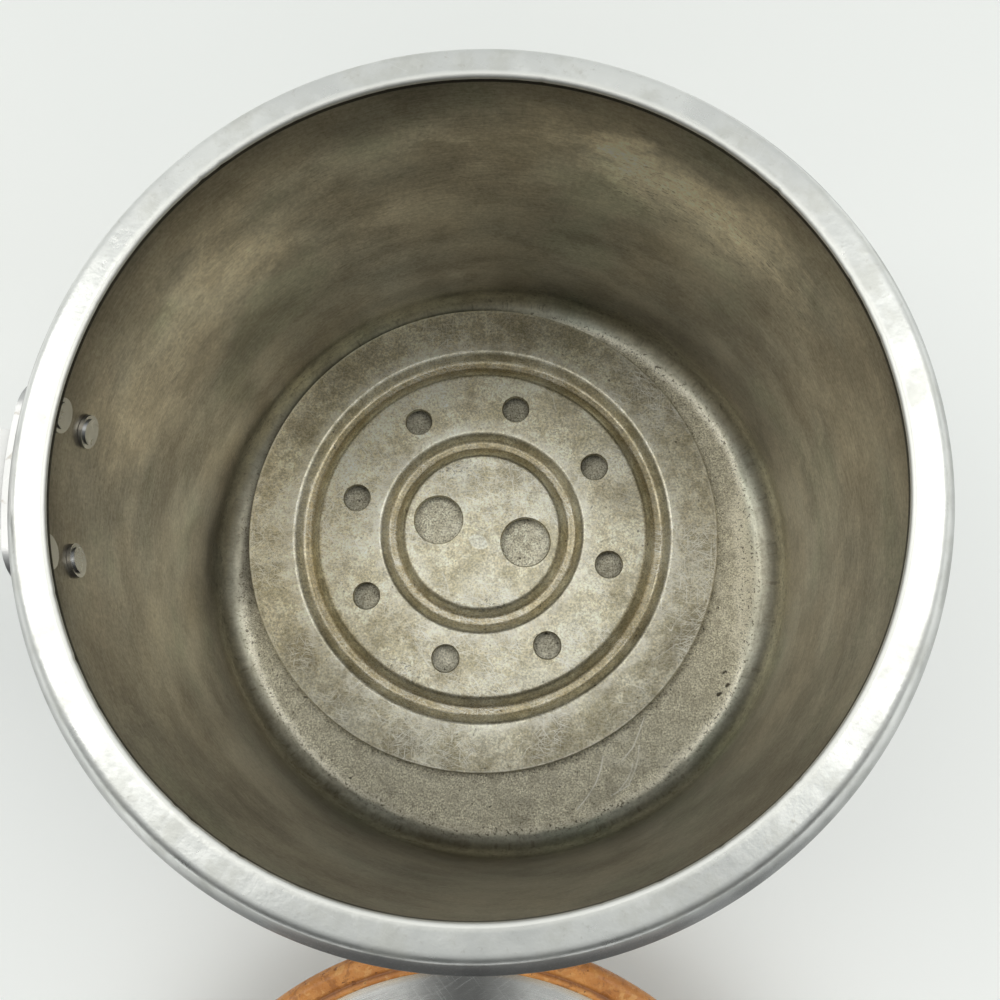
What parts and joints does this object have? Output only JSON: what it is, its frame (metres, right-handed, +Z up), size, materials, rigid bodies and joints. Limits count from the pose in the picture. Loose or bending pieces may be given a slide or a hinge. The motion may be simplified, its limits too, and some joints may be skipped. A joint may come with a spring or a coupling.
{
  "type": "pressure cooker",
  "caption": "Old round aluminium pressure cooker, open, with a perforated steam rack on its floor and an inside-fitting spring lid with a rubber channel gasket lying beside it.",
  "frame": {"origin": "centre of the pot's flat base, on the table", "axes": "+Z up along the pot's axis, -X along the pot's long handle, -Y towards the lid on the table"},
  "size_m": [0.3961, 0.4145, 0.1801],
  "materials": {
    "pot_aluminium": "tarnished satin inside, bright worn rim",
    "rack_aluminium": "dull, stained, finely scratched",
    "lid_steel": "brushed stainless",
    "fitting_steel": "satin stainless",
    "gasket_rubber": "aged orange-brown rubber",
    "black_rubber": "matte",
    "phenolic": "worn satin black moulding",
    "brass": "dull brass"
  },
  "bodies": {
    "pot": {"pot_shell": "pot_aluminium", "handle_bracket": "fitting_steel", "bracket_rivets": "fitting_steel", "flame_guard": "fitting_steel", "handle_grip": "phenolic", "handle_bolt": "fitting_steel", "catch_pin": "fitting_steel", "catch_spring": "fitting_steel"},
    "ring": {"hanging_ring": "fitting_steel"},
    "catch": {"catch_hook": "fitting_steel"},
    "rack": {"steam_rack": "rack_aluminium"},
    "lid": {"lid_disc": "lid_steel", "lid_gasket": "gasket_rubber", "bridge_bar": "lid_steel", "bridge_rivets": "fitting_steel", "centre_stud": "fitting_steel", "stud_seal": "black_rubber", "stud_nut": "fitting_steel", "thrust_washer": "brass", "hub_nut": "fitting_steel", "regulator_base": "brass", "regulator_seal": "black_rubber", "regulator_nut": "brass", "relief_spring": "fitting_steel", "safety_plug": "black_rubber", "safety_pin": "fitting_steel"},
    "lever": {"lever_arm": "fitting_steel", "lever_grip_top": "phenolic", "lever_grip_bottom": "phenolic", "grip_screws": "fitting_steel"},
    "regulator": {"regulator_cap": "phenolic"},
    "relief_valve": {"relief_plunger": "fitting_steel"}
  },
  "joints": [
    {"name": "lid_turn_over", "type": "hinge", "parent": "pot", "child": "lid", "pos_m": [-0.0038, -0.10745, 0.107], "axis": [-0.9994, 0.0353, 0], "range_deg": [0, 180]},
    {"name": "lever_swing", "type": "hinge", "parent": "lid", "child": "lever", "pos_m": [-0.0076, -0.2149, 0.019], "axis": [0, 0, 1], "range_deg": [0, 110]},
    {"name": "regulator_turn", "type": "hinge", "parent": "lid", "child": "regulator", "pos_m": [0.03429, -0.21787, 0.013], "axis": [0, 0, -1], "range_deg": [0, 180]},
    {"name": "relief_lift", "type": "slide", "parent": "lid", "child": "relief_valve", "axis": [0, 0, -1], "range_m": [0, 0.002], "stiffness_N_per_m": 200, "springref_m": -0.006, "deforming": ["relief_spring"]},
    {"name": "rack_lift", "type": "slide", "parent": "pot", "child": "rack", "axis": [0, 0, 1], "range_m": [0, 0.15]},
    {"name": "catch_release", "type": "hinge", "parent": "pot", "child": "catch", "pos_m": [-0.206, 0, 0.1575], "axis": [0, -1, 0], "range_deg": [0, 18], "stiffness_Nm_per_rad": 0.06, "springref_deg": -17.19, "deforming": ["catch_spring"]},
    {"name": "ring_swing", "type": "hinge", "parent": "pot", "child": "ring", "pos_m": [-0.2895, 0, 0.1485], "axis": [0, 1, 0], "range_deg": [-15, 110]}
  ]
}
